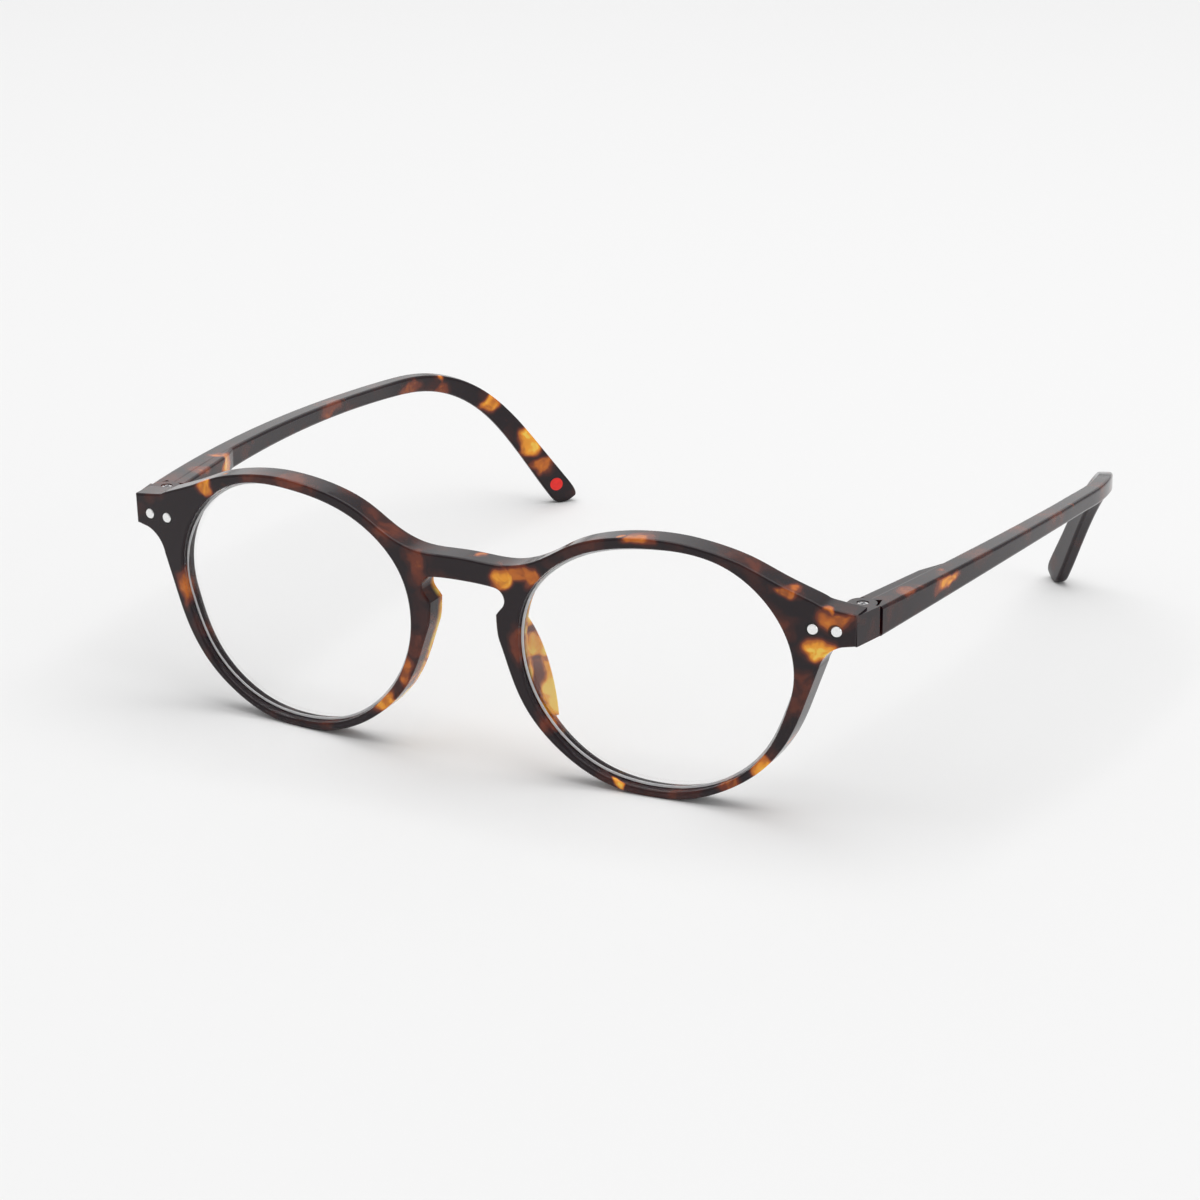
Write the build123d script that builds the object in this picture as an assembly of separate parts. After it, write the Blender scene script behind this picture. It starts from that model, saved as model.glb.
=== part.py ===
from build123d import *
from math import atan2, cos, degrees, hypot, pi, radians, sin, sqrt
import os

# Folding reading glasses with a panto front, a keyhole bridge and sprung hinges.
# X runs across the face (+X is the wearer's left), Y runs back along the temples, Z is up.
# Every piece is drawn with the front upright and its middle at the origin. The last step
# leans the whole pair forward about X until it stands on the rims and the temple tips.

# ---- driving dimensions, millimetres and degrees ----

# front
lens_centre_x = 33.5         # half the distance between the two lens centres
front_thickness = 4.6
front_radius = 417.0         # wrap of the front face, seen from above
edge_round = 0.4             # softening of the front's long edges
half_width = 68.5            # middle of the front to the end of an end piece

# lens and its groove
groove_depth = 0.65
groove_clearance = 0.08
lens_front_radius = 190.0
lens_back_radius = 260.0
lens_edge_thickness = 1.15
lens_centre_z = 2.4
lens_half_width = 23.0
lens_setback = 2.0           # front face of the rim to the lens edge

# end piece, knuckles and hinge axis
hinge_x = 66.6
hinge_y = 12.6
knuckle_radius = 2.35
ear_top = 15.85
ear_bottom = 10.75
lug_root = (60.6, 7.2)       # plan corners of the block behind the end piece
lug_front = (68.5, 6.0)
lug_rear = (69.75, 12.2)
lug_inner = [(60.6, 8.4), (62.6, 9.2), (hinge_x - knuckle_radius, 11.4)]    # its inner curve
lug_side = [(4, 16.45), (7, 16.2), (18, ear_top - 0.1), (18, ear_bottom), (4, 11.0)]    # (y, z)
slot_top = 14.25
slot_bottom = 12.35
slot_radius = 2.15

# hinge hardware
screw_radius = 0.65
screw_bore_radius = 0.70
screw_head_radius = 1.0
screw_head_height = 0.7
screw_head_sunk = 0.05       # top of the ear to the top of the head
screw_chamfer = 0.1
screw_tip_gap = 0.2
recess_length = 1.3          # the screw's cross recess
recess_width = 0.32
recess_depth = 0.35
insert_radius = 1.2
insert_length = 1.45
washer_radius = 1.8
washer_thickness = 0.22
fit_gap = 0.02               # axial and radial play of the turned hinge pieces
barrel_radius = 1.9

# sprung tongue inside the temple, measured back from the hinge axis
tongue_offset = 0.5          # the shank runs this far outside the hinge axis
neck_width = 1.8
neck_end = 2.55
shank_radius = 0.5
shank_gap = 0.05             # play of the shank in the housing's front wall
housing_start = 2.9
housing_length = 16.0
housing_width = 2.6
housing_height = 3.0
housing_wall = 1.5
chamber_radius = 1.15
pocket_mouth = 1.0           # the housing's pocket starts this far ahead of the housing
spring_radius = 0.86         # coil's mean radius
spring_wire = 0.30
spring_length = 9.0
spring_turns = 9
spring_play = 0.05
nut_radius = 1.0
nut_length = 1.5

# temple
temple_length = 145.7
temple_spans = 16
temple_start = (70.06, 12.68)      # outer front corner, seen from above
temple_top = 15.75
splay = 9.3                  # degrees that the temple opens outwards at the hinge
curl = 0.126                 # degrees of inward turn per millimetre
hook_curl_start = 87.7
hook_curl_length = 33.7
hook_curl = 1.07             # extra degrees of inward turn per millimetre along the hook
droop = 0.5                  # downward slope at the hinge, degrees
sag = 0.0745                 # degrees of downward turn per millimetre
bend_start = 97.2
bend_length = 27.1
bend_angle = 44.5
thickness_front = 3.94
thickness_tip = 2.4
housing_end = 19.5           # end of the thick part that holds the hinge's spring
step_end = 25.5              # end of the bevel behind it
thick_front = 5.8
thick_rear = 5.1
swelling_inset = 0.04        # the thick part's top lies this little below the temple's
height_hinge = 5.1
height_middle = 3.0
height_tip = 5.3
taper_front = 1.7            # how quickly the height falls behind the hinge
taper_rear = 1.9             # how quickly it grows again towards the tip
edge_radius = 0.55           # rounding of the temple's four long edges
most_rounding = 0.42         # and the most it may be, as a share of a section's smaller side
tip_round = 3.6
tip_fullness = 2.4           # 2 is an elliptical end, more is blunter
tip_drop = 0.6               # how much of the rounding is taken from the upper corner
tip_rests = (0.55, 0.22, 0.05)     # sections within the tip's rounding, as shares of it left
notch_face = 2.7             # hinge axis to the temple's front face
notch = [(2.55, -4), (2.35, 1.2), (1.5, 3.4), (0.6, notch_face)]    # plan, from the hinge axis

# trim
rivet_radius = 0.95
rivet_length = 2.4
rivet_proud = 0.06
rivet_chamfer = 0.15
rivet_places = [("inner", 61.4), ("outer", 65.3)]
rivet_z = 13.3
disc_radius = 1.35
disc_depth = 0.4
disc_proud = 0.05
disc_from_tip = 5.0

# ---- outlines of the front, for its +X half: (x, z) ----
bridge_top = (9.5, 17.2)
bridge_top_middle = (0, 17.1)
brow = [bridge_top, (14, 18.75), (20, 22.2), (26, 24.25), (32, 25.15), (38, 25.25), (44, 24.45),
        (50, 22.8), (56, 20.15), (62, 17.75), (half_width, 16.4)]
end_piece_foot = (68.4, 11.05)
armpit = [(66.1, 10.65), (63.7, 9.15), (62.4, 6.6)]
rim_bottom = (33.5, -19.95)
rim_outer = [(60.8, 2.0), (57.6, -6.2), (52.2, -13.2), (43.9, -18.3)]
rim_nasal = [(24.9, -18.5), (15.5, -12.6), (10.0, -5.2), (7.1, 2.6)]
nose_corner = (6.25, 8.0)
keyhole = [(6.9, 8.9), (7.8, 10.4), (7.0, 12.35), (5.2, 12.85)]
bridge_under = (0, 13.05)
opening = [(57.55, 0), (56.1, 13.05), (46.25, 22.1), (33.5, 23.45), (21.55, 20.75), (12.1, 12.35),
           (10.65, 0), (15.65, -10.3), (23.9, -16.65), (33.5, -18.65), (43.4, -17.15), (52.4, -10.9)]

# nose pad: a thin leaf behind the nasal side of the rim, curved with it: (x, z) of its two faces
pad_outer = [(7.0, 8.6), (8.7, -1.2), (13.9, -10.2)]
pad_inner = [(8.7, 8.9), (10.3, -0.9), (15.3, -9.3)]
pad_start = 3.4              # how deep in the rim the pad is rooted, from the front
pad_flare = 27.0
pad_depth = 4.6
pad_radius = 15.0            # the pad's rounded rear edge, seen from the side
pad_middle = -0.8
pad_round = 0.6

beyond = 12.0                # how far a cutting body reaches past what it cuts
near = 0.01                  # lengths closer than this count as equal


# ---- helpers ----
def on_front(x):
    """How far back the front face is at x."""
    return x * x / (2 * front_radius)


def upright(points):
    """Turns (x, z) pairs into points of the plane y = 0."""
    return [Vector(x, 0, z) for x, z in points]


def both_sides(piece):
    """The same piece for the wearer's left and right."""
    return {"left": piece, "right": piece.mirror(Plane.YZ)}


def elevation(wire, depth_from, depth_to):
    """A solid whose outline in the front view is the wire."""
    return Pos(0, depth_from, 0) * extrude(make_face(wire), depth_to - depth_from, dir=(0, 1, 0))


def hinge_place(offset=0.0, back=0.0, z=0.0):
    """Local axes at the left hinge: X outwards, Y back along the temple."""
    place = Location((hinge_x, hinge_y, 0)) * Location((0, 0, 0), (0, 0, -splay))
    return place * Location((offset, back, z))


def rod(radius, length):
    """A round bar that runs back along the local Y axis."""
    return Rot(-90, 0, 0) * Cylinder(radius, length, align=(Align.CENTER, Align.CENTER, Align.MIN))


# ---- front ----
def opening_wire(grow=0.0):
    """The lens opening, or a curve that lies outside it all round by grow."""
    middle = Vector(lens_centre_x, 0, 0)
    points = [point + (point - middle).normalized() * grow for point in upright(opening)]
    return Wire([Spline(*points, periodic=True)])


def half_outline():
    """The left half of the front's outer outline: brow, end piece, rim and keyhole."""
    temporal = [armpit[-1]] + rim_outer + [rim_bottom]
    nasal = [rim_bottom] + rim_nasal + [nose_corner]
    return Wire([
        Spline(*upright([bridge_top_middle] + brow), tangents=[(1, 0, 0), (1, 0, -0.15)]),
        Line(*upright([brow[-1], end_piece_foot])),
        Line(*upright([end_piece_foot, armpit[0]])),
        ThreePointArc(*upright(armpit)),
        Spline(*upright(temporal), tangents=[(-0.35, 0, -1), (-1, 0, 0)]),
        Spline(*upright(nasal), tangents=[(-1, 0, 0), (-0.02, 0, 1)]),
        Spline(*upright([nose_corner] + keyhole + [bridge_under]), tangents=[(0.5, 0, 1), (-1, 0, 0)]),
        Line(*upright([bridge_under, bridge_top_middle])),
    ])


def slab(front_offset, thickness):
    """A wall of the front's own curvature, between two vertical cylinders."""
    inner = front_radius - front_offset - thickness
    outer = front_radius - front_offset
    tall = 8 * beyond
    ring = Cylinder(outer, tall) - Cylinder(inner, 2 * tall)
    window = Box(2 * (half_width + beyond), 4 * beyond, 2 * tall)
    return (Pos(0, front_radius, 0) * ring) & window


def sagitta(radius):
    """How far a sphere of that radius bulges over the lens's half width."""
    return radius - sqrt(radius ** 2 - lens_half_width ** 2)


def lens_body(clearance=0.0):
    """The meniscus lens, or with a clearance the space of its groove."""
    turn = degrees(atan2(lens_centre_x, front_radius))
    middle = Location((lens_centre_x, on_front(lens_centre_x), lens_centre_z))
    middle *= Location((0, 0, 0), (0, 0, turn))
    front_face = lens_setback - sagitta(lens_front_radius)
    back_face = lens_setback + lens_edge_thickness - sagitta(lens_back_radius)
    outside = Pos(0, front_face + lens_front_radius - clearance, 0) * Sphere(lens_front_radius)
    inside = Pos(0, back_face + lens_back_radius + clearance, 0) * Sphere(lens_back_radius)
    rim = opening_wire(groove_depth - groove_clearance + clearance)
    cutter = elevation(rim, -beyond, beyond)
    box = Pos(lens_centre_x, 0, 0) * Box(5 * beyond, 3 * beyond, 5 * beyond)
    return cutter & ((middle * outside) & box) - (middle * inside)


def nose_pad():
    """The pad moulded behind the nasal side of the left rim: a thin leaf with a round edge."""
    outer, inner = upright(pad_outer), upright(pad_inner)
    outline = Wire([ThreePointArc(*outer), Line(outer[-1], inner[-1]), ThreePointArc(*inner),
                    Line(inner[0], outer[0])])
    flare = Vector(sin(radians(pad_flare)), cos(radians(pad_flare)), 0)
    leaf = Pos(0, pad_start, 0) * extrude(make_face(outline), 2 * pad_depth, dir=flare)
    side = Pos(0, pad_start + pad_depth - pad_radius, pad_middle)
    leaf &= side * (Rot(0, 90, 0) * Cylinder(pad_radius, 4 * beyond))
    rear = [edge for edge in leaf.edges() if is_pad_rear(edge)]
    return fillet(rear, pad_round)


def is_pad_rear(edge):
    """True for the two long edges along the pad's rounded rear side."""
    axis_y = pad_start + pad_depth - pad_radius
    reach = [hypot(point.Y - axis_y, point.Z - pad_middle) for point in (edge @ 0, edge @ 0.5, edge @ 1)]
    return min(reach) > pad_radius - near and edge.length > pad_depth


def lug():
    """The end piece behind the front, with the knuckle that carries the hinge screw."""
    outer_x = hinge_x + knuckle_radius
    corners = [(outer_x, hinge_y), (outer_x, lug_rear[1]), lug_rear, lug_front, lug_root]
    plan = Wire([
        Line((*lug_root, 0), (*lug_inner[0], 0)),
        Spline(*[(*point, 0) for point in lug_inner], tangents=[(1, 0.15, 0), (0, 1, 0)]),
        Line((*lug_inner[-1], 0), (lug_inner[-1][0], hinge_y, 0)),
        ThreePointArc((lug_inner[-1][0], hinge_y, 0), (hinge_x, hinge_y + knuckle_radius, 0),
                      (outer_x, hinge_y, 0)),
    ] + [Line((*start, 0), (*end, 0)) for start, end in zip(corners, corners[1:])])
    body = Pos(0, 0, ear_bottom - beyond) * extrude(make_face(plan), 2 * beyond, dir=(0, 0, 1))
    side = Wire(Polyline(*[(0, y, z) for y, z in lug_side], close=True))
    profile = Pos(lug_root[0] - beyond, 0, 0) * extrude(make_face(side), 2 * beyond, dir=(1, 0, 0))
    return body & profile


def knuckle_slot():
    """The gap between the two ears, open to the inside and to the back."""
    height = slot_top - slot_bottom
    z = (slot_top + slot_bottom) / 2
    turning = Pos(hinge_x, hinge_y, z) * Cylinder(slot_radius, height)
    open_side = Pos(hinge_x - beyond / 2, hinge_y, z) * Box(beyond, 2 * slot_radius, height)
    behind = Pos(hinge_x - beyond / 4, hinge_y + beyond / 4, z) * Box(beyond, beyond / 2, height)
    return turning + open_side + behind


def screw_holes():
    """The screw's bore through both ears, its countersink and the seat of its insert."""
    bore = Pos(hinge_x, hinge_y, (slot_top + slot_bottom) / 2) * Cylinder(screw_bore_radius, beyond)
    head = Pos(hinge_x, hinge_y, ear_top - screw_head_height - fit_gap) * Cylinder(
        screw_head_radius + fit_gap, beyond, align=(Align.CENTER, Align.CENTER, Align.MIN))
    seat = Pos(hinge_x, hinge_y, ear_bottom + insert_length + fit_gap) * Cylinder(
        insert_radius + fit_gap, beyond, align=(Align.CENTER, Align.CENTER, Align.MAX))
    return bore + head + seat


def rivet_place(x):
    lean_out = degrees(atan2(x, front_radius))
    return Location((x, on_front(x), rivet_z)) * Location((0, 0, 0), (0, 0, lean_out))


def runs_along_face(edge):
    """True for an edge of the front or back face, except where the two halves meet."""
    ends = [edge @ 0, edge @ 1]
    radii = [hypot(point.X, point.Y - front_radius) for point in ends + [edge @ 0.5]]
    level = max(radii) - min(radii) < near
    return level and max(abs(point.X) for point in ends) > near


def half_front():
    """The left half of the front, softened along its edges, with its lug, pad and holes."""
    half = elevation(half_outline(), -beyond, 2 * beyond) & slab(0, front_thickness)
    half -= elevation(opening_wire(), -beyond, 2 * beyond)
    half = fillet([edge for edge in half.edges() if runs_along_face(edge)], edge_round)
    half += lug()
    for hole in [lens_body(groove_clearance), knuckle_slot(), screw_holes()]:
        half -= hole
    for _, x in rivet_places:
        half -= rivet_place(x) * rod(rivet_radius + fit_gap, rivet_length)
    return half + nose_pad()


def frame_front():
    half = half_front()
    return half + half.mirror(Plane.YZ)


# ---- hinge hardware, left side ----
def rivet(x):
    body = rod(rivet_radius, rivet_length - fit_gap + rivet_proud)
    rim = body.edges().sort_by(Axis.Y)[0]
    return rivet_place(x) * (Pos(0, -rivet_proud, 0) * chamfer(rim, rivet_chamfer))


def hinge_screw():
    head_height = screw_head_height - screw_head_sunk
    head = Cylinder(screw_head_radius, head_height, align=(Align.CENTER, Align.CENTER, Align.MIN))
    head = chamfer(head.edges().sort_by(Axis.Z)[-1], screw_chamfer)
    bar = Box(recess_length, recess_width, 2 * recess_depth)
    recess = Pos(0, 0, head_height) * (bar + Rot(0, 0, 90) * bar)
    shank = Cylinder(screw_radius, ear_top - screw_head_height - ear_bottom - screw_tip_gap,
                     align=(Align.CENTER, Align.CENTER, Align.MAX))
    return Pos(hinge_x, hinge_y, ear_top - screw_head_height) * (head + shank - recess)


def screw_insert():
    body = Cylinder(insert_radius, insert_length) - Cylinder(screw_radius + fit_gap, beyond)
    return Pos(hinge_x, hinge_y, ear_bottom + insert_length / 2) * body


def hinge_washers():
    ring = Cylinder(washer_radius, washer_thickness) - Cylinder(screw_bore_radius, beyond)
    low = slot_bottom + fit_gap + washer_thickness / 2
    high = slot_top - fit_gap - washer_thickness / 2
    return Compound([Pos(hinge_x, hinge_y, z) * ring for z in (low, high)])


def hinge_tongue():
    z = (slot_top + slot_bottom) / 2
    height = slot_top - slot_bottom - 2 * washer_thickness - 4 * fit_gap
    barrel = Pos(hinge_x, hinge_y, z) * Cylinder(barrel_radius, height)
    neck = hinge_place(tongue_offset / 2, neck_end / 2, z) * Box(neck_width, neck_end, height)
    shank_length = housing_start + housing_wall + spring_length + nut_length - neck_end
    shank = hinge_place(tongue_offset, neck_end, z) * rod(shank_radius, shank_length)
    bore = Pos(hinge_x, hinge_y, z) * Cylinder(screw_bore_radius, beyond)
    return barrel + neck + shank - bore


def spring_housing():
    z = (slot_top + slot_bottom) / 2
    box = hinge_place(tongue_offset, housing_start + housing_length / 2, z) * Box(
        housing_width, housing_length, housing_height)
    chamber = hinge_place(tongue_offset, housing_start + housing_wall, z) * rod(
        chamber_radius, housing_length)
    passage = hinge_place(tongue_offset, housing_start - housing_wall, z) * rod(
        shank_radius + shank_gap, 3 * housing_wall)
    return box - chamber - passage


def hinge_spring():
    z = (slot_top + slot_bottom) / 2
    free = spring_length - spring_wire - 2 * spring_play
    path = Helix(free / spring_turns, free, spring_radius)
    section = Plane(path @ 0, z_dir=path % 0) * Circle(spring_wire / 2)
    coil = sweep(section, path, is_frenet=True)
    start = housing_start + housing_wall + spring_wire / 2 + spring_play
    return hinge_place(tongue_offset, start, z) * (Rot(-90, 0, 0) * coil)


def spring_nut():
    z = (slot_top + slot_bottom) / 2
    hole = Pos(0, -nut_length, 0) * rod(shank_radius + fit_gap, 3 * nut_length)
    body = rod(nut_radius, nut_length) - hole
    return hinge_place(tongue_offset, housing_start + housing_wall + spring_length, z) * body


# ---- temple, left side ----
def yaw(l):
    """How far the temple has turned inwards at length l, in radians."""
    hook = min(max(l - hook_curl_start, 0), hook_curl_length)
    return radians(-splay + curl * l + hook_curl * hook)


def pitch(l):
    """How far the temple has turned downwards at length l, in radians."""
    bend = min(max((l - bend_start) / bend_length, 0), 1)
    return radians(droop + sag * l + bend_angle * bend)


def direction(l):
    return Vector(-sin(yaw(l)) * cos(pitch(l)), cos(yaw(l)) * cos(pitch(l)), -sin(pitch(l)))


def thickness(l):
    return thickness_front + (thickness_tip - thickness_front) * l / temple_length


def height(l):
    """The temple's height: slim in the middle, deeper at the hinge and at the tip."""
    from_middle = 2 * l / temple_length - 1
    if from_middle < 0:
        return height_middle + (height_hinge - height_middle) * (-from_middle) ** taper_front
    return height_middle + (height_tip - height_middle) * from_middle ** taper_rear


def centre(l):
    """The middle of the temple's section at length l."""
    x = temple_start[0] - cos(yaw(0)) * thickness(0) / 2
    y = temple_start[1] - sin(yaw(0)) * thickness(0) / 2
    place = Vector(x, y, temple_top - height(0) / 2)
    steps = max(int(l), 1)
    for i in range(steps):
        place += direction((i + 0.5) * l / steps) * (l / steps)
    return place


def section(l):
    """A rounded section across the temple. The upper corner of the tip is the rounder one."""
    outwards = Vector(cos(yaw(l)), sin(yaw(l)), 0)
    plane = Plane(centre(l), x_dir=outwards, z_dir=direction(l))
    into_tip = max(l - temple_length + tip_round, 0) / tip_round
    shrink = (1 - into_tip ** tip_fullness) ** (1 / tip_fullness)
    wide = thickness(l) * (1 + shrink) / 2
    tall = height(l) * shrink
    lower = (height(l) - tall) / 2 * tip_drop
    outline = RectangleRounded(wide, tall, min(edge_radius, most_rounding * min(wide, tall)))
    return plane * (Pos(0, -lower, 0) * outline)


def swelling_section(l, extra):
    """The inner half of a section, made thicker on its inner face by extra."""
    outwards = Vector(cos(yaw(l)), sin(yaw(l)), 0)
    wide = thickness(l) / 2 + extra
    plane = Plane(centre(l) - outwards * wide / 2, x_dir=outwards, z_dir=direction(l))
    return plane * RectangleRounded(wide, height(l) - swelling_inset, edge_radius)


def hinge_swelling():
    """The thicker inner side at the hinge, which ends in a bevelled step."""
    stations = [(0, thick_front - thickness(0)), (housing_end, thick_rear - thickness(housing_end)),
                (step_end, 0)]
    return loft([swelling_section(l, extra) for l, extra in stations], ruled=True)


def temple():
    straight = temple_length - tip_round
    stations = [i * straight / temple_spans for i in range(temple_spans + 1)]
    stations += [temple_length - tip_round * rest for rest in tip_rests]
    arm = loft([section(l) for l in stations])
    body = arm + hinge_swelling()
    z = (slot_top + slot_bottom) / 2
    corners = [(-beyond, notch[0][1])] + notch + [(-beyond, notch_face)]
    outline = Polyline(*[(x, y, 0) for x, y in corners], close=True)
    body -= hinge_place(0, 0, z - beyond) * extrude(make_face(outline), 2 * beyond, dir=(0, 0, 1))
    pocket = hinge_place(tongue_offset, housing_start + (housing_length - pocket_mouth) / 2, z) * Box(
        housing_width + 2 * fit_gap, housing_length + pocket_mouth + 2 * fit_gap,
        housing_height + 2 * fit_gap)
    return body - pocket


def disc_place():
    """On the inner face near the tip, with local Z pointing out of the face."""
    l = temple_length - disc_from_tip
    outwards = Vector(cos(yaw(l)), sin(yaw(l)), 0)
    origin = centre(l) - outwards * thickness(l) / 2
    return Plane(origin, x_dir=direction(l), z_dir=-outwards).location


def marker_disc(extra=0.0):
    disc = Cylinder(disc_radius + extra, disc_depth + disc_proud,
                    align=(Align.CENTER, Align.CENTER, Align.MAX))
    return disc_place() * (Pos(0, 0, disc_proud) * disc)


# ---- the whole pair ----
def build():
    pieces = {"frame_front": frame_front()}
    left = {
        "lens": lens_body(),
        "hinge_screw": hinge_screw(),
        "screw_insert": screw_insert(),
        "hinge_washers": hinge_washers(),
        "hinge_tongue": hinge_tongue(),
        "spring_housing": spring_housing(),
        "hinge_spring": hinge_spring(),
        "spring_nut": spring_nut(),
        "temple": temple(),
    }
    for name, x in rivet_places:
        left["rivet_" + name] = rivet(x)
    for name, piece in left.items():
        for side, copy in both_sides(piece).items():
            pieces[side + "_" + name] = copy
    pieces["right_temple"] -= marker_disc(fit_gap).mirror(Plane.YZ)
    pieces["marker_disc"] = marker_disc().mirror(Plane.YZ)
    return pieces


def standing_lean(front, arm):
    """The lean about X at which the rims and the temple tips touch one level surface."""
    lean = 0.0
    for _ in range(6):
        rim_box = (Rot(lean, 0, 0) * front).bounding_box()
        tip_box = (Rot(lean, 0, 0) * arm).bounding_box()
        lean += degrees(atan2(rim_box.min.Z - tip_box.min.Z, tip_box.max.Y - rim_box.min.Y))
    return lean


def main():
    os.makedirs("parts", exist_ok=True)
    pieces = build()
    lean = standing_lean(pieces["frame_front"], pieces["left_temple"])
    leaned = {name: Rot(lean, 0, 0) * piece for name, piece in pieces.items()}
    boxes = {name: piece.bounding_box() for name, piece in leaned.items()}
    floor = min(box.min.Z for box in boxes.values())
    middle = (min(box.min.Y for box in boxes.values()) + max(box.max.Y for box in boxes.values())) / 2
    for name, piece in leaned.items():
        export_step(Pos(0, -middle, -floor) * piece, f"parts/{name}.step")
    print("lean", round(lean, 4), "degrees, lifted by", round(-floor, 4), "mm,",
          "moved forward by", round(middle, 4), "mm")
    for name in ("frame_front", "left_temple"):
        print(name, "stands", round(boxes[name].min.Z - floor, 3), "mm above the floor")


main()
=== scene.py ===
import math

import bpy
from mathutils import Matrix, Vector


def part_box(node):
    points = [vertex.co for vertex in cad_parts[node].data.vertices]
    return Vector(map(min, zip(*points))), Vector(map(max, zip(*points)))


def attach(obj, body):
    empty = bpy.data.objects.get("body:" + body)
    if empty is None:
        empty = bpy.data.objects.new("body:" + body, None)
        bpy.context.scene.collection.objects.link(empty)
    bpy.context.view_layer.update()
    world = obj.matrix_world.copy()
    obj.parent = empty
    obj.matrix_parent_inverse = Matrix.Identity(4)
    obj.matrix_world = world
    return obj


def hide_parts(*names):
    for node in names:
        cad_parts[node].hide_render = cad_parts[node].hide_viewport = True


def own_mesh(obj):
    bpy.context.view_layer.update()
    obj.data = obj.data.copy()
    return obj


# Round tortoiseshell reading glasses on a pale table.
# The frame gives every shape and place. This script gives the looks, in metres.

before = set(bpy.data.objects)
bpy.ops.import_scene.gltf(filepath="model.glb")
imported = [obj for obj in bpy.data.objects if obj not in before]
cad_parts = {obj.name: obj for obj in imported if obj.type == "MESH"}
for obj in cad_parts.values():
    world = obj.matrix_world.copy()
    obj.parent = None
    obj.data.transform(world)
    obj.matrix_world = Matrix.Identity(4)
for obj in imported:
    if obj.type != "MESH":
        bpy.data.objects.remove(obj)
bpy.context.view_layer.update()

MM = 0.001
SIDES = ("left", "right")

# ---- camera: the three-quarter view from the wearer's left front; the lens in millimetres ----
CAMERA_AZIMUTH = math.radians(27.31)
CAMERA_ELEVATION = math.radians(19.2)
CAMERA_ROLL = math.radians(0.24)
CAMERA_DISTANCE = 579 * MM
CAMERA_LENS = 104.31
SENSOR_WIDTH = 36
NEAR_CLIP = 0.05
LOOK_AT = Vector((18.81, -56.77, 28.54)) * MM

# ---- table and light, in metres and watts ----
FLOOR_SIZE = 24.0
FLOOR_COLOUR = (0.86, 0.86, 0.86, 1)
WORLD_COLOUR = (1.0, 1.0, 1.0, 1)
WORLD_LIGHT = 0.52
LAMPS_AIM_AT = Vector((0, 0, 0.02))
SOFTBOXES = [                # name, place, width and height, power
    ("overhead", (0.0, 0.1, 1.7), (2.2, 1.8), 21.5),
    ("behind", (-0.9, 1.9, 0.75), (2.6, 1.2), 5.0),
    ("beside", (1.7, -0.1, 0.6), (1.4, 0.9), 3.5),
]

# ---- lens bevels, millimetres ----
RING_STEPS = 180
INSIDE_RIM = 17.0            # from the lens's middle to a place well inside the rim
WELL_AHEAD = Vector((0, -20, 0))
BACKWARDS = Vector((0, 1, 0))
JUST_AHEAD = 0.05            # the rim is measured this far ahead of the lens
# The bevel's section: how far in from the rim, and how proud of the lens.
RING_SECTION = [(0.05, 0.02), (0.10, 0.14), (0.26, 0.16), (0.33, 0.08),
                (0.40, 0.13), (0.50, 0.10), (0.55, 0.02)]
BEVEL_SHADE = (0.90, 0.90, 0.92, 1)
BEVEL_WHITE = (0.98, 0.98, 0.98, 1)
RESIN_IOR = 1.5              # the lenses and the shell alike

# ---- metal and plain plastic: pieces, material, bright and dark colour, roughness ----
METALS = [
    (["rivet_inner", "rivet_outer"], "rivet_metal",
     (0.93, 0.93, 0.92, 1), (0.8, 0.8, 0.8, 1), 0.2),
    (["hinge_screw"], "screw_metal",
     (0.86, 0.86, 0.86, 1), (0.62, 0.62, 0.64, 1), 0.26),
    (["hinge_tongue", "spring_housing", "spring_nut"], "hinge_metal",
     (0.68, 0.68, 0.7, 1), (0.45, 0.45, 0.47, 1), 0.32),
    (["hinge_spring"], "spring_metal",
     (0.6, 0.6, 0.62, 1), (0.35, 0.35, 0.37, 1), 0.3),
    (["screw_insert"], "insert_brass",
     (0.83, 0.62, 0.3, 1), (0.6, 0.42, 0.18, 1), 0.3),
]
PLASTICS = [
    ("hinge_washers", "washer_nylon", (0.82, 0.81, 0.77, 1), (0.68, 0.67, 0.62, 1), 0.45),
    ("marker_disc", "marker_red", (0.92, 0.014, 0.008, 1), (0.80, 0.010, 0.006, 1), 0.4),
]
METAL_GRAIN = 0.25           # millimetres
PLASTIC_GRAIN = 0.8

# ---- tortoiseshell, millimetres ----
BLACK_BROWN = (0.0125, 0.0055, 0.0080, 1)
DARK_RED = (0.045, 0.0105, 0.009, 1)
RED_BROWN = (0.17, 0.034, 0.014, 1)
ORANGE = (0.56, 0.15, 0.018, 1)
AMBER = (0.90, 0.37, 0.03, 1)
HONEY = (0.96, 0.63, 0.10, 1)
# painted shade for the narrow gap round each rivet
GAP_SHADE = (0.004, 0.002, 0.002, 1)
SHELL_TONES = [(0.0, BLACK_BROWN), (0.22, DARK_RED), (0.42, RED_BROWN),
               (0.64, ORANGE), (0.85, AMBER), (1.0, HONEY)]
PAD_TONES = [(0.34, RED_BROWN), (0.43, ORANGE), (0.49, AMBER), (0.60, HONEY)]
PATCH_EDGE = 1.35            # where a patch ends, in half sizes from its middle
PATCH_CORE = 0.45            # and where it reaches its full strength
WARP_PUSH = 3.6              # how far noise pushes the patches about
WARP_SIZE = 3.6              # how wide the noise's features are, here and below
CLOUD_SIZE = 8.0
SPOT_SIZE = 7.0
MOTTLE_SIZE = 2.2
PAD_CLOUD_SIZE = 3.2
WAVE_SIZE = 1.6
GRAIN_SIZE = 0.35
PAD_FROM = 3.0               # the honey begins this far behind the front's foremost point
PAD_FULL = 4.8               # and is full from here
PAD_OUTER = 17.5             # it ends this far out from the middle
PAD_SOFT = 2.0               # and fades over this width
PAD_NONE = 11.0              # it begins this far below the front's top
PAD_TOP = 13.0               # and is full from here
RIVET_SHADE_INNER = 1.02            # the ring of painted shade round a rivet, from its middle
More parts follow.
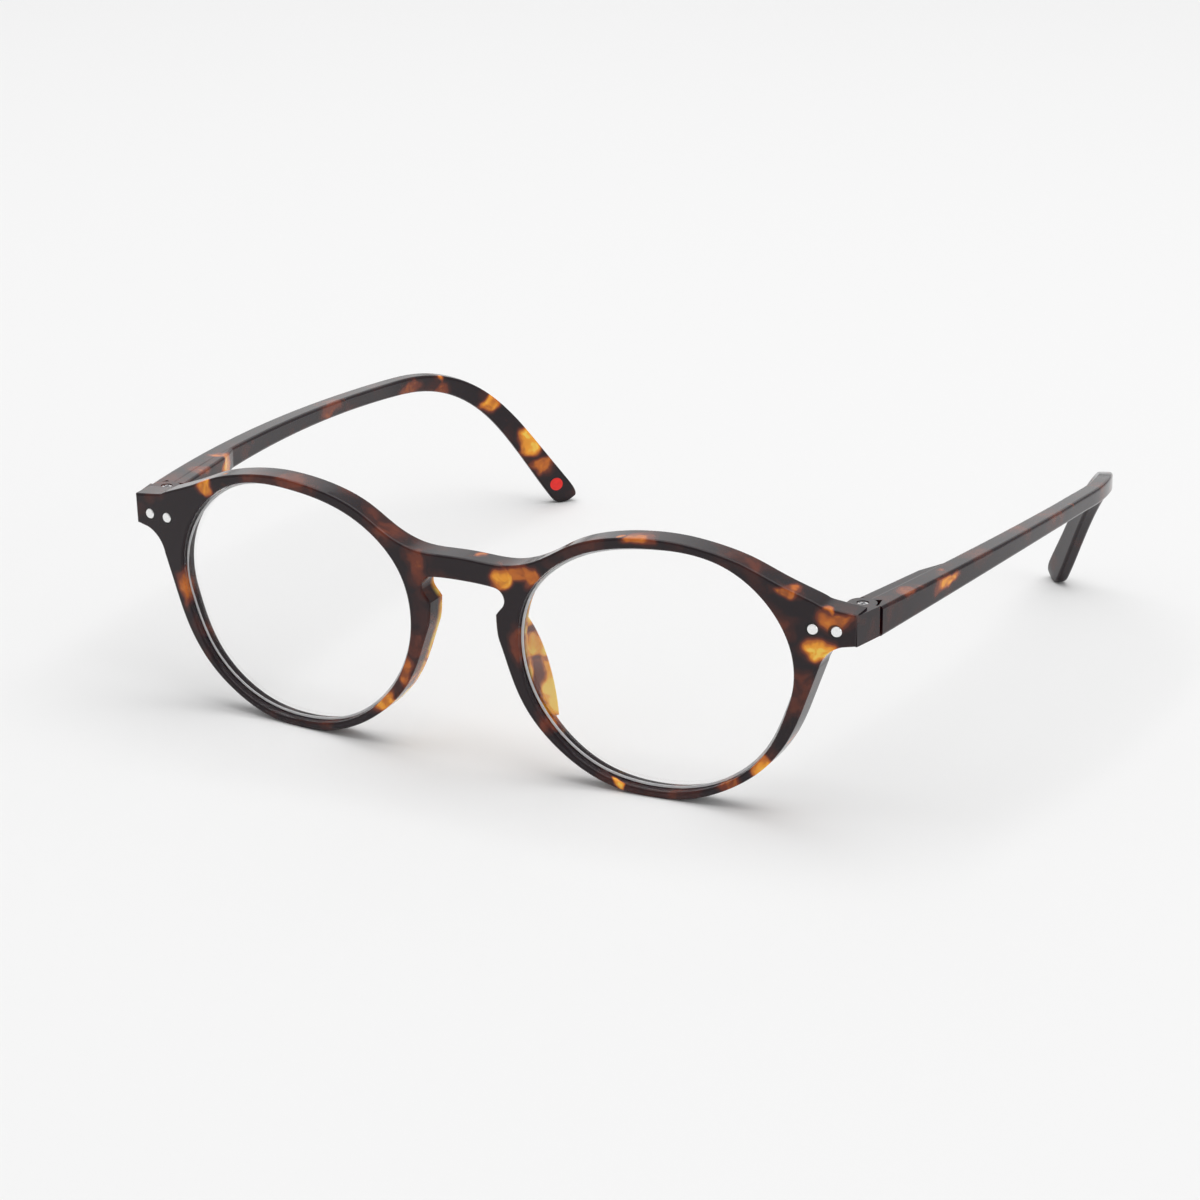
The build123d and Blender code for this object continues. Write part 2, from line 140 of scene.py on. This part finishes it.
RIVET_SHADE_OUTER = 1.30

# The lighter patches, in millimetres: middle, half sizes, and how far towards honey.
FRONT_PATCHES = [
    ((-52.5, -67.3, 40.7), (2.2, 4.0, 1.5), 0.85),
    ((-57.9, -65.4, 21.4), (1.8, 3.0, 4.0), 0.62),
    ((-34.0, -69.2, 45.1), (5.0, 4.0, 1.8), 0.38),
    ((-14.4, -68.9, 38.9), (4.0, 4.0, 2.6), 0.36),
    ((-8.8, -70.3, 34.0), (2.4, 4.0, 3.6), 0.46),
    ((-11.3, -69.5, 14.7), (1.8, 4.0, 4.0), 0.62),
    ((-16.0, -69.1, 8.3), (3.2, 4.0, 2.2), 0.86),
    ((7.7, -70.4, 34.9), (2.5, 4.0, 2.4), 0.92),
    ((10.2, -70.3, 35.9), (3.2, 4.0, 1.5), 0.62),
    ((12.6, -70.3, 36.0), (2.2, 4.0, 2.0), 0.68),
    ((31.8, -69.4, 44.9), (3.0, 4.0, 1.3), 0.64),
    ((57.0, -66.6, 39.2), (3.2, 4.0, 1.1), 0.64),
    ((65.5, -65.2, 35.1), (3.2, 4.0, 2.4), 0.66),
    ((62.5, -65.5, 29.8), (3.3, 4.0, 2.3), 0.96),
    ((53.2, -66.0, 8.2), (2.2, 4.0, 2.2), 0.84),
    ((47.1, -66.5, 4.4), (3.0, 4.0, 1.6), 0.50),
    ((10.2, -68.9, 23.5), (1.5, 4.0, 4.0), 0.46),
    ((14.7, -66.8, 9.8), (1.5, 4.0, 3.0), 0.50),
]
TEMPLE_PATCHES = [
    ((-69.2, -36.4, 34.1), (3.0, 3.4, 2.4), 0.84),
    ((-66.7, -46.2, 36.0), (3.0, 2.6, 2.0), 0.50),
    ((-72.4, 6.9, 33.4), (3.0, 5.0, 2.0), 0.46),
    ((-71.8, 35.6, 29.8), (3.0, 4.0, 2.0), 0.46),
    ((-69.6, 44.6, 27.8), (3.0, 3.0, 2.0), 0.48),
    ((-64.4, 54.6, 22.9), (3.0, 2.4, 2.0), 0.84),
    ((-58.7, 61.6, 14.4), (3.0, 3.4, 3.4), 1.0),
    ((-57.1, 63.5, 8.7), (3.0, 3.0, 2.4), 0.66),
    ((72.8, -37.0, 34.5), (3.0, 4.5, 1.6), 0.84),
    ((70.5, -48.0, 37.0), (3.0, 4.0, 1.5), 0.46),
]


# ---- node helpers ----
class Nodes:
    """A short way to write a material's node tree."""

    def __init__(self, name):
        self.material = bpy.data.materials.new(name)
        self.material.use_nodes = True
        self.tree = self.material.node_tree
        self.shader = self.tree.nodes["Principled BSDF"]

    def add(self, kind, **settings):
        node = self.tree.nodes.new(kind)
        for key, value in settings.items():
            setattr(node, key, value)
        return node

    def plug(self, source, socket):
        if isinstance(source, bpy.types.NodeSocket):
            self.tree.links.new(source, socket)
        else:
            socket.default_value = source

    def math(self, operation, a, b=0.0, clamp=False):
        node = self.add("ShaderNodeMath", operation=operation, use_clamp=clamp)
        self.plug(a, node.inputs[0])
        self.plug(b, node.inputs[1])
        return node.outputs[0]

    def vector(self, operation, a, b=(0, 0, 0)):
        node = self.add("ShaderNodeVectorMath", operation=operation)
        self.plug(a, node.inputs[0])
        if operation != "LENGTH":
            self.plug(b, node.inputs[1])
        return node.outputs["Value" if operation == "LENGTH" else "Vector"]

    def scale(self, vector, factor):
        node = self.add("ShaderNodeVectorMath", operation="SCALE")
        self.plug(vector, node.inputs[0])
        node.inputs["Scale"].default_value = factor
        return node.outputs["Vector"]

    def place(self):
        """The point on the part, in millimetres."""
        return self.scale(self.add("ShaderNodeTexCoord").outputs["Object"], 1 / MM)

    def noise(self, vector, size, detail=2.0, roughness=0.5, distortion=0.0, colour=False):
        """Noise whose features are about size millimetres wide."""
        node = self.add("ShaderNodeTexNoise")
        self.plug(vector, node.inputs["Vector"])
        node.inputs["Scale"].default_value = 1 / size
        node.inputs["Detail"].default_value = detail
        node.inputs["Roughness"].default_value = roughness
        node.inputs["Distortion"].default_value = distortion
        return node.outputs["Color" if colour else "Fac"]

    def warped(self, vector, size, amount):
        """The same place, pushed about by noise."""
        push = self.vector("SUBTRACT", self.noise(vector, size, 1, colour=True), (0.5, 0.5, 0.5))
        return self.vector("ADD", vector, self.scale(push, amount))

    def ramp(self, factor, stops):
        node = self.add("ShaderNodeValToRGB")
        ramp = node.color_ramp
        ramp.interpolation = "EASE"
        while len(ramp.elements) < len(stops):
            ramp.elements.new(0.5)
        for element, (at, colour) in zip(ramp.elements, stops):
            element.position = at
            element.color = colour
        self.plug(factor, node.inputs["Fac"])
        return node.outputs["Color"]

    def fade(self, value, start, end, low=0.0, high=1.0):
        """Runs smoothly from low to high while the value goes from start to end."""
        node = self.add("ShaderNodeMapRange", interpolation_type="SMOOTHSTEP")
        self.plug(value, node.inputs["Value"])
        node.inputs["From Min"].default_value = start
        node.inputs["From Max"].default_value = end
        node.inputs["To Min"].default_value = low
        node.inputs["To Max"].default_value = high
        return node.outputs["Result"]

    def mix(self, factor, a, b):
        node = self.add("ShaderNodeMix", data_type="RGBA")
        self.plug(factor, node.inputs["Factor"])
        self.plug(a, node.inputs["A"])
        self.plug(b, node.inputs["B"])
        return node.outputs["Result"]

    def bump(self, height, strength, distance):
        node = self.add("ShaderNodeBump")
        node.inputs["Strength"].default_value = strength
        node.inputs["Distance"].default_value = distance * MM
        self.plug(height, node.inputs["Height"])
        self.tree.links.new(node.outputs["Normal"], self.shader.inputs["Normal"])

    def set(self, **values):
        for name, value in values.items():
            self.plug(value, self.shader.inputs[name.replace("_", " ")])


def halfway(low, high):
    return (Vector(low) + Vector(high)) / 2


# ---- tortoiseshell ----
def patch_field(nodes, place, patches):
    """Each patch's strength in its middle and 0 outside them all."""
    field = 0.0
    for centre, half_sizes, strength in patches:
        away = nodes.vector("SUBTRACT", place, centre)
        scaled = nodes.vector("DIVIDE", away, half_sizes)
        reach = nodes.fade(nodes.vector("LENGTH", scaled), PATCH_EDGE, PATCH_CORE, 0.0, strength)
        field = nodes.math("MAXIMUM", reach, field)
    return field


def tortoise(name, patches, clouds, is_front=False):
    """Shell with its patches. The clouds' place shifts the stray spots between pieces."""
    nodes = Nodes(name)
    place = nodes.place()
    warped = nodes.warped(place, WARP_SIZE, WARP_PUSH)
    field = patch_field(nodes, warped, patches)
    cloud = nodes.noise(warped, CLOUD_SIZE, 1.5, 0.45)
    red = nodes.fade(cloud, 0.48, 0.70, 0.0, 0.31)
    elsewhere = nodes.vector("ADD", warped, clouds)
    spots = nodes.fade(nodes.noise(elsewhere, SPOT_SIZE, 1, 0.5), 0.69, 0.80)
    amount = nodes.math("MAXIMUM", nodes.math("MAXIMUM", field, red), spots, clamp=True)
    mottle = nodes.fade(nodes.noise(warped, MOTTLE_SIZE, 2, 0.5), 0.3, 0.7, 0.80, 1.10)
    amount = nodes.math("MULTIPLY", amount, mottle, clamp=True)
    colour = nodes.ramp(amount, SHELL_TONES)
    if is_front:
        colour = with_honey_pads(nodes, place, warped, colour)
        # painted shade in a ring round each rivet
        colour = with_painted_rivet_shade(nodes, place, colour)
    grain = nodes.noise(place, GRAIN_SIZE, 3, 0.6)
    nodes.set(Base_Color=colour, Roughness=nodes.fade(grain, 0.2, 0.8, 0.11, 0.17),
              IOR=RESIN_IOR, Specular_IOR_Level=0.34, Subsurface_Weight=0.3,
              Subsurface_Radius=(1.0, 0.4, 0.12), Subsurface_Scale=0.9 * MM)
    nodes.bump(nodes.noise(place, WAVE_SIZE, 2, 0.5), 0.1, 0.04)
    return nodes.material


def with_honey_pads(nodes, place, warped, colour):
    """The nose pads are the same plate, so thin that it shows honey with brown clouds."""
    low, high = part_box("frame_front")
    split = nodes.add("ShaderNodeSeparateXYZ")
    nodes.plug(place, split.inputs[0])
    behind = nodes.fade(split.outputs["Y"], low.y / MM + PAD_FROM, low.y / MM + PAD_FULL)
    sideways = nodes.math("ABSOLUTE", split.outputs["X"])
    near_nose = nodes.fade(sideways, PAD_OUTER, PAD_OUTER - PAD_SOFT)
    below = nodes.fade(split.outputs["Z"], high.z / MM - PAD_NONE, high.z / MM - PAD_TOP)
    mask = nodes.math("MULTIPLY", nodes.math("MULTIPLY", behind, near_nose), below)
    tones = nodes.ramp(nodes.noise(warped, PAD_CLOUD_SIZE, 1.5, 0.5), PAD_TONES)
    return nodes.mix(mask, colour, tones)


def with_painted_rivet_shade(nodes, place, colour):
    """Painted shade: the shell is darkened in a ring in the narrow gap round each rivet."""
    for side in SIDES:
        for name in ("_rivet_inner", "_rivet_outer"):
            centre = halfway(*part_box(side + name)) / MM
            away = nodes.vector("SUBTRACT", place, tuple(centre))
            flat = nodes.vector("MULTIPLY", away, (1, 0, 1))
            # painted shade, strongest at the rivet's edge and gone at the outer radius
            ring = nodes.fade(nodes.vector("LENGTH", flat), RIVET_SHADE_OUTER, RIVET_SHADE_INNER, 0.0, 0.85)
            colour = nodes.mix(ring, colour, GAP_SHADE)
    return colour


# ---- lenses and metal ----
def clear_lens():
    """Clear resin that lets the lamps' light through to the table."""
    nodes = Nodes("clear_lens")
    wear = nodes.noise(nodes.place(), 6.0, 3)
    nodes.set(Base_Color=(1.0, 1.0, 1.0, 1), Roughness=nodes.fade(wear, 0.3, 0.7, 0.0, 0.012),
              Transmission_Weight=1.0, IOR=RESIN_IOR)
    light_path = nodes.add("ShaderNodeLightPath")
    clear = nodes.add("ShaderNodeBsdfTransparent")
    blend = nodes.add("ShaderNodeMixShader")
    output = nodes.tree.nodes["Material Output"]
    nodes.plug(light_path.outputs["Is Shadow Ray"], blend.inputs[0])
    nodes.plug(nodes.shader.outputs[0], blend.inputs[1])
    nodes.plug(clear.outputs[0], blend.inputs[2])
    nodes.plug(blend.outputs[0], output.inputs["Surface"])
    return nodes.material


def metal(name, bright, dark, roughness):
    nodes = Nodes(name)
    speck = nodes.noise(nodes.place(), METAL_GRAIN, 4, 0.6)
    nodes.set(Base_Color=nodes.ramp(speck, [(0.3, dark), (0.7, bright)]), Metallic=1.0,
              Roughness=nodes.fade(speck, 0.2, 0.8, roughness * 0.8, roughness * 1.3))
    nodes.bump(speck, 0.08, 0.02)
    return nodes.material


def plain_plastic(name, bright, dark, roughness):
    nodes = Nodes(name)
    cloud = nodes.noise(nodes.place(), PLASTIC_GRAIN, 3, 0.6)
    nodes.set(Base_Color=nodes.ramp(cloud, [(0.25, dark), (0.75, bright)]),
              Roughness=nodes.fade(cloud, 0.2, 0.8, roughness * 0.85, roughness * 1.15))
    nodes.bump(cloud, 0.05, 0.02)
    return nodes.material


def give(node, material):
    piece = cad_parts[node]
    piece.data.materials.clear()
    piece.data.materials.append(material)


def dress():
    """Every CAD node gets its finish."""
    finishes = {
        "frame_front": tortoise("front_shell", FRONT_PATCHES, (31, 7, 12), is_front=True),
        "temple": tortoise("temple_shell", TEMPLE_PATCHES, (5, 63, 20)),
        "lens": clear_lens(),
    }
    for pieces, *finish in METALS:
        finishes.update(dict.fromkeys(pieces, metal(*finish)))
    for piece, *finish in PLASTICS:
        finishes[piece] = plain_plastic(*finish)
    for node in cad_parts:
        give(node, finishes[node.removeprefix("left_").removeprefix("right_")])


# ---- bevelled lens edges ----
def bevel_glass():
    """Ground resin: whiter than the clear lens and a little cloudy."""
    nodes = Nodes("bevel_glass")
    cloud = nodes.noise(nodes.place(), 2.5, 3, 0.6)
    nodes.set(Base_Color=nodes.ramp(cloud, [(0.3, BEVEL_SHADE), (0.7, BEVEL_WHITE)]),
              Roughness=nodes.fade(cloud, 0.3, 0.7, 0.12, 0.25),
              Transmission_Weight=0.3, IOR=RESIN_IOR)
    return nodes.material


def surface_at(node, start, direction):
    """The first point of the node's surface from start, or None."""
    hit, point, _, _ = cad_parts[node].ray_cast(start, direction)
    return point if hit else None


def lens_face(lens, place):
    """The point of the lens's front face in line with the place, seen from ahead."""
    return surface_at(lens, place + WELL_AHEAD * MM, BACKWARDS)


def rim_reach(lens, middle, spoke):
    """How far the rim's inner wall is from the lens's middle, just ahead of the lens."""
    inside = middle + spoke * INSIDE_RIM * MM
    glass = lens_face(lens, inside)
    start = Vector((inside.x, glass.y - JUST_AHEAD * MM, inside.z))
    wall = surface_at("frame_front", start, spoke)
    return Vector((wall.x - middle.x, 0, wall.z - middle.z)).length


def lens_ring(side, material):
    """The polished bevel that shows as a pale line where the lens meets the rim."""
    lens = side + "_lens"
    middle = halfway(*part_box(lens))
    corners = []
    for step in range(RING_STEPS):
        angle = step / RING_STEPS * math.tau
        spoke = Vector((math.cos(angle), 0, math.sin(angle)))
        reach = rim_reach(lens, middle, spoke)
        for inset, proud in RING_SECTION:
            flat = middle + spoke * (reach - inset * MM)
            glass = lens_face(lens, flat)
            corners.append((flat.x, glass.y - proud * MM, flat.z))
    count = len(RING_SECTION)
    faces = []
    for step in range(RING_STEPS):
        here, there = step * count, (step + 1) % RING_STEPS * count
        for i in range(count):
            after = (i + 1) % count
            faces.append((here + i, there + i, there + after, here + after))
    mesh = bpy.data.meshes.new(side + "_lens_bevel")
    mesh.from_pydata(corners, [], faces)
    mesh.materials.append(material)
    for face in mesh.polygons:
        face.use_smooth = True
    ring = bpy.data.objects.new(side + "_lens_bevel", mesh)
    bpy.context.scene.collection.objects.link(ring)
    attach(ring, "front")


# ---- hinge springs ----
def pressed_spring(side):
    """On the real hinge the spring shortens when its temple is drawn back from the front; here a
    copy of it rides with the temple's arm in place of the CAD spring.
    """
    node = side + "_hinge_spring"
    spring = bpy.data.objects.new(side + "_pressed_spring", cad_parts[node].data.copy())
    bpy.context.scene.collection.objects.link(spring)
    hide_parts(node)
    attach(spring, side + "_arm")
    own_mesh(spring)


# ---- table, light and camera ----
def floor():
    half = FLOOR_SIZE / 2
    corners = [(-half, -half, 0), (half, -half, 0), (half, half, 0), (-half, half, 0)]
    mesh = bpy.data.meshes.new("table_top")
    mesh.from_pydata(corners, [], [(0, 1, 2, 3)])
    table = bpy.data.objects.new("table_top", mesh)
    bpy.context.scene.collection.objects.link(table)
    nodes = Nodes("table_white")
    nodes.set(Base_Color=FLOOR_COLOUR, Roughness=0.75, Specular_IOR_Level=0.1)
    mesh.materials.append(nodes.material)


def softbox(name, place, size, power):
    data = bpy.data.lights.new(name, "AREA")
    data.shape = "RECTANGLE"
    data.size, data.size_y = size
    data.energy = power
    lamp = bpy.data.objects.new(name, data)
    lamp.location = place
    lamp.rotation_euler = (LAMPS_AIM_AT - Vector(place)).to_track_quat("-Z", "Y").to_euler()
    bpy.context.scene.collection.objects.link(lamp)


def lights():
    world = bpy.data.worlds.new("studio")
    bpy.context.scene.world = world
    world.use_nodes = True
    background = world.node_tree.nodes["Background"]
    background.inputs["Color"].default_value = WORLD_COLOUR
    background.inputs["Strength"].default_value = WORLD_LIGHT
    for name, place, size, power in SOFTBOXES:
        softbox(name, place, size, power)


def camera():
    back = Vector((math.sin(CAMERA_AZIMUTH) * math.cos(CAMERA_ELEVATION),
                   -math.cos(CAMERA_AZIMUTH) * math.cos(CAMERA_ELEVATION),
                   math.sin(CAMERA_ELEVATION)))
    data = bpy.data.cameras.new("camera")
    data.sensor_width = SENSOR_WIDTH
    data.lens = CAMERA_LENS
    data.clip_start = NEAR_CLIP
    eye = bpy.data.objects.new("camera", data)
    turn = back.to_track_quat("Z", "Y").to_matrix().to_4x4() @ Matrix.Rotation(CAMERA_ROLL, 4, "Z")
    eye.matrix_world = Matrix.Translation(LOOK_AT + back * CAMERA_DISTANCE) @ turn
    bpy.context.scene.collection.objects.link(eye)
    bpy.context.scene.camera = eye


bpy.context.scene.view_settings.view_transform = "Standard"
dress()
bevel = bevel_glass()
for hand in SIDES:
    lens_ring(hand, bevel)
    pressed_spring(hand)
floor()
lights()
camera()
